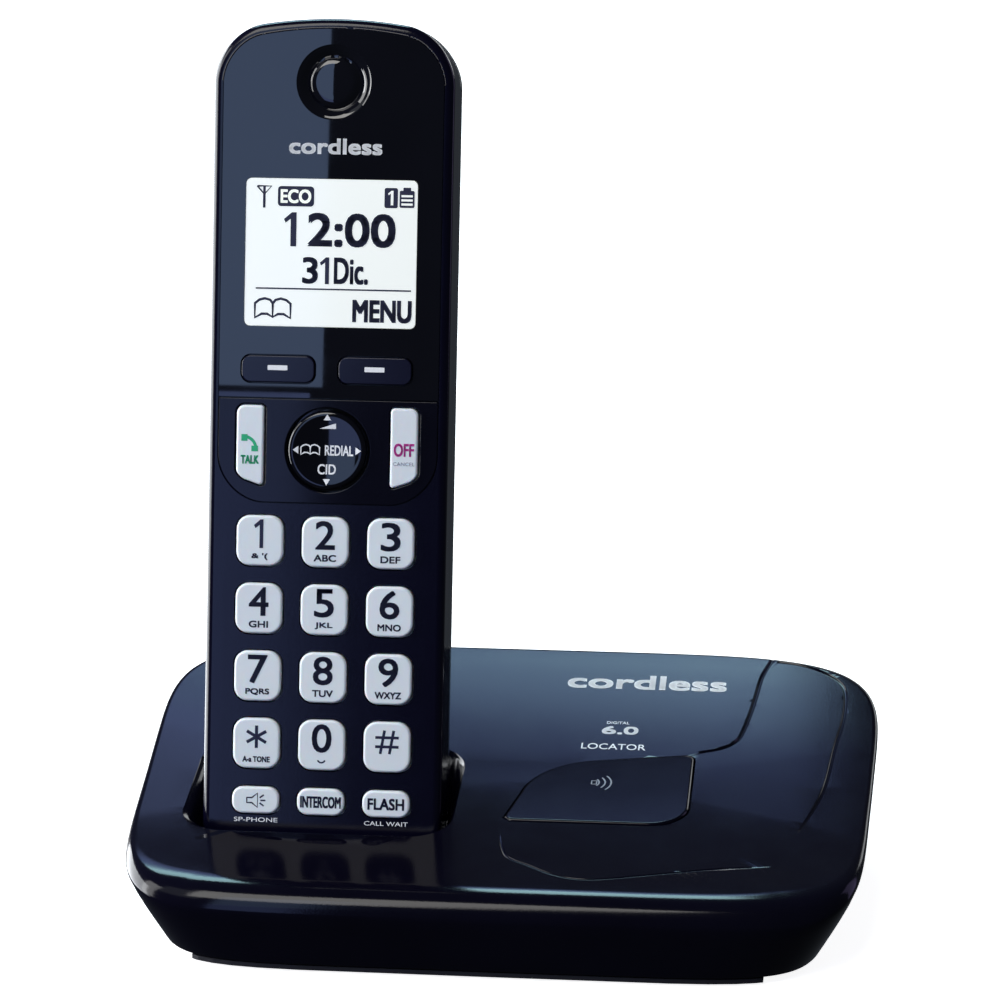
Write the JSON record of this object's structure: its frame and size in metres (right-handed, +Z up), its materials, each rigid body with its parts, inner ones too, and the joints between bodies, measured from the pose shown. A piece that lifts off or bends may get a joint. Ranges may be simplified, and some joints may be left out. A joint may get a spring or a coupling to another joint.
{
  "type": "cordless phone with base",
  "caption": "Cordless telephone handset with keypad and display, standing in its sloping charging base with a locator button.",
  "frame": {"origin": "centre of the base's footprint, on the surface it stands on", "axes": "+Z up, +X to the right as seen from the keypad side, -Y towards the user"},
  "size_m": [0.1468, 0.104, 0.1721],
  "materials": {
    "body_plastic": "satin navy-black moulded plastic",
    "lower_plastic": "matt black moulded plastic",
    "glossy_panel": "polished black plastic",
    "button_plastic": "satin navy-black plastic",
    "key_plastic": "pale translucent grey key plastic",
    "lcd_glass": "backlit reflective display",
    "inner_plastic": "matt dark plastic",
    "rubber": "matt rubber",
    "board": "green circuit board",
    "spring_steel": "plated spring steel",
    "screw_steel": "zinc-plated steel",
    "cell_wrap": "shrink-wrapped cells"
  },
  "bodies": {
    "base": {"base_upper_case": "body_plastic", "base_lower_case": "lower_plastic", "base_feet": "rubber", "base_screws": "screw_steel", "base_board": "board", "base_antenna": "spring_steel", "power_jack": "inner_plastic", "line_jack": "inner_plastic", "cradle_contacts": "spring_steel", "locator_switch": "inner_plastic"},
    "handset": {"handset_front_case": "body_plastic", "handset_back_case": "body_plastic", "display_window": "glossy_panel", "nav_bezel": "glossy_panel", "display_module": "lcd_glass", "display_frame": "inner_plastic", "earpiece_speaker": "inner_plastic", "microphone": "spring_steel", "rear_speaker": "inner_plastic", "key_sheet": "rubber", "handset_board": "board", "handset_antenna": "spring_steel", "battery_cells": "cell_wrap", "battery_contacts": "spring_steel", "handset_charge_plates": "spring_steel", "handset_screws": "screw_steel"},
    "battery_cover": {"battery_cover": "body_plastic"},
    "nav_boss": {"nav_boss": "rubber"},
    "nav_key": {"nav_key": "glossy_panel"},
    "locator_button": {"locator_button": "button_plastic"},
    "soft_key_left": {"soft_key_left": "button_plastic"},
    "soft_key_right": {"soft_key_right": "button_plastic"},
    "talk_key": {"talk_key": "key_plastic"},
    "off_key": {"off_key": "key_plastic"},
    "key_1": {"key_1": "key_plastic"},
    "key_2": {"key_2": "key_plastic"},
    "key_3": {"key_3": "key_plastic"},
    "key_4": {"key_4": "key_plastic"},
    "key_5": {"key_5": "key_plastic"},
    "key_6": {"key_6": "key_plastic"},
    "key_7": {"key_7": "key_plastic"},
    "key_8": {"key_8": "key_plastic"},
    "key_9": {"key_9": "key_plastic"},
    "key_star": {"key_star": "key_plastic"},
    "key_0": {"key_0": "key_plastic"},
    "key_hash": {"key_hash": "key_plastic"},
    "speaker_key": {"speaker_key": "key_plastic"},
    "intercom_key": {"intercom_key": "key_plastic"},
    "flash_key": {"flash_key": "key_plastic"}
  },
  "joints": [
    {"name": "handset_lift", "type": "slide", "parent": "base", "child": "handset", "axis": [0, 0.2079, 0.9781], "range_m": [0, 0.1]},
    {"name": "battery_cover_slide", "type": "slide", "parent": "handset", "child": "battery_cover", "axis": [0, -0.2079, -0.9781], "range_m": [0, 0.0055]},
    {"name": "nav_tilt_side", "type": "hinge", "parent": "handset", "child": "nav_boss", "pos_m": [-0.0347, -0.00095, 0.08991], "axis": [0, 0.2079, 0.9781], "range_deg": [-2.2, 2.2], "stiffness_Nm_per_rad": 0.1},
    {"name": "nav_tilt_up", "type": "hinge", "parent": "nav_boss", "child": "nav_key", "pos_m": [-0.0347, -0.00095, 0.08991], "axis": [1, 0, 0], "range_deg": [-2.2, 2.2], "stiffness_Nm_per_rad": 0.1},
    {"name": "soft_key_left_press", "type": "slide", "parent": "handset", "child": "soft_key_left", "axis": [0, 0.9781, -0.2079], "range_m": [0, 0.0007], "stiffness_N_per_m": 1000},
    {"name": "soft_key_right_press", "type": "slide", "parent": "handset", "child": "soft_key_right", "axis": [0, 0.9781, -0.2079], "range_m": [0, 0.0007], "stiffness_N_per_m": 1000},
    {"name": "talk_key_press", "type": "slide", "parent": "handset", "child": "talk_key", "axis": [0, 0.9781, -0.2079], "range_m": [0, 0.0007], "stiffness_N_per_m": 1000},
    {"name": "off_key_press", "type": "slide", "parent": "handset", "child": "off_key", "axis": [0, 0.9781, -0.2079], "range_m": [0, 0.0007], "stiffness_N_per_m": 1000},
    {"name": "key_1_press", "type": "slide", "parent": "handset", "child": "key_1", "axis": [0, 0.9781, -0.2079], "range_m": [0, 0.0007], "stiffness_N_per_m": 1000},
    {"name": "key_2_press", "type": "slide", "parent": "handset", "child": "key_2", "axis": [0, 0.9781, -0.2079], "range_m": [0, 0.0007], "stiffness_N_per_m": 1000},
    {"name": "key_3_press", "type": "slide", "parent": "handset", "child": "key_3", "axis": [0, 0.9781, -0.2079], "range_m": [0, 0.0007], "stiffness_N_per_m": 1000},
    {"name": "key_4_press", "type": "slide", "parent": "handset", "child": "key_4", "axis": [0, 0.9781, -0.2079], "range_m": [0, 0.0007], "stiffness_N_per_m": 1000},
    {"name": "key_5_press", "type": "slide", "parent": "handset", "child": "key_5", "axis": [0, 0.9781, -0.2079], "range_m": [0, 0.0007], "stiffness_N_per_m": 1000},
    {"name": "key_6_press", "type": "slide", "parent": "handset", "child": "key_6", "axis": [0, 0.9781, -0.2079], "range_m": [0, 0.0007], "stiffness_N_per_m": 1000},
    {"name": "key_7_press", "type": "slide", "parent": "handset", "child": "key_7", "axis": [0, 0.9781, -0.2079], "range_m": [0, 0.0007], "stiffness_N_per_m": 1000},
    {"name": "key_8_press", "type": "slide", "parent": "handset", "child": "key_8", "axis": [0, 0.9781, -0.2079], "range_m": [0, 0.0007], "stiffness_N_per_m": 1000},
    {"name": "key_9_press", "type": "slide", "parent": "handset", "child": "key_9", "axis": [0, 0.9781, -0.2079], "range_m": [0, 0.0007], "stiffness_N_per_m": 1000},
    {"name": "key_star_press", "type": "slide", "parent": "handset", "child": "key_star", "axis": [0, 0.9781, -0.2079], "range_m": [0, 0.0007], "stiffness_N_per_m": 1000},
    {"name": "key_0_press", "type": "slide", "parent": "handset", "child": "key_0", "axis": [0, 0.9781, -0.2079], "range_m": [0, 0.0007], "stiffness_N_per_m": 1000},
    {"name": "key_hash_press", "type": "slide", "parent": "handset", "child": "key_hash", "axis": [0, 0.9781, -0.2079], "range_m": [0, 0.0007], "stiffness_N_per_m": 1000},
    {"name": "speaker_key_press", "type": "slide", "parent": "handset", "child": "speaker_key", "axis": [0, 0.9781, -0.2079], "range_m": [0, 0.0007], "stiffness_N_per_m": 1000},
    {"name": "intercom_key_press", "type": "slide", "parent": "handset", "child": "intercom_key", "axis": [0, 0.9781, -0.2079], "range_m": [0, 0.0007], "stiffness_N_per_m": 1000},
    {"name": "flash_key_press", "type": "slide", "parent": "handset", "child": "flash_key", "axis": [0, 0.9781, -0.2079], "range_m": [0, 0.0007], "stiffness_N_per_m": 1000},
    {"name": "locator_button_press", "type": "slide", "parent": "base", "child": "locator_button", "axis": [0, 0.1422, -0.9898], "range_m": [0, 0.001], "stiffness_N_per_m": 500}
  ]
}
